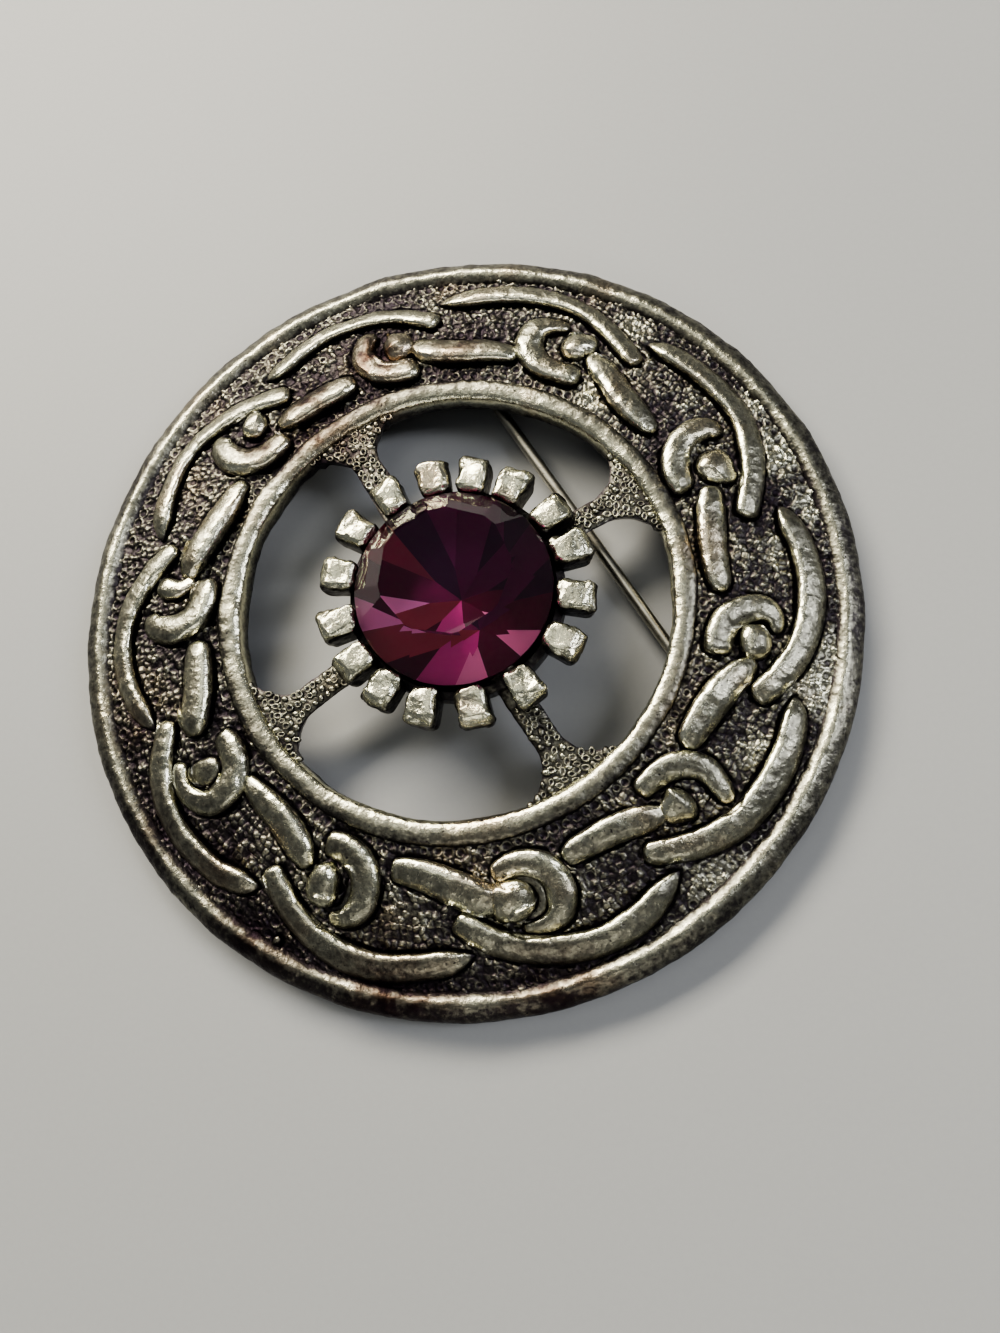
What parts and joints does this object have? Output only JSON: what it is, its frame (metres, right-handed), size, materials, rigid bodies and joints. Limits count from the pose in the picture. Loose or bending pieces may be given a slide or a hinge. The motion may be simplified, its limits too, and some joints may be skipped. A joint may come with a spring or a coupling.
{
  "type": "round openwork celtic brooch",
  "caption": "Round openwork brooch: domed cast ring with raised interlace, spokes, a claw-set faceted stone and a hinged pin behind.",
  "frame": {"origin": "centre of the ring, on the surface that the flat back of its rim rests on", "axes": "+Z out of the face, +Y towards the top of the brooch, +X to its right"},
  "size_m": [0.055, 0.055, 0.0092],
  "materials": {
    "pewter": "antiqued cast pewter, worn bright on the relief and dark in the recesses",
    "stone": "deep purple cut glass with a foiled back",
    "steel": "drawn steel wire, slightly dulled",
    "findings": "pressed nickel-plated sheet, dulled"
  },
  "bodies": {
    "brooch": {"cast_frame": "pewter", "stone": "stone", "hinge_bracket": "findings", "catch": "findings"},
    "pin": {"pin_stem": "steel"}
  },
  "joints": [
    {"name": "pin_hinge", "type": "hinge", "parent": "brooch", "child": "pin", "pos_m": [0.01737, -0.00736, 0.00105], "axis": [-0.8453, -0.5344, 0], "range_deg": [0, 80]}
  ]
}
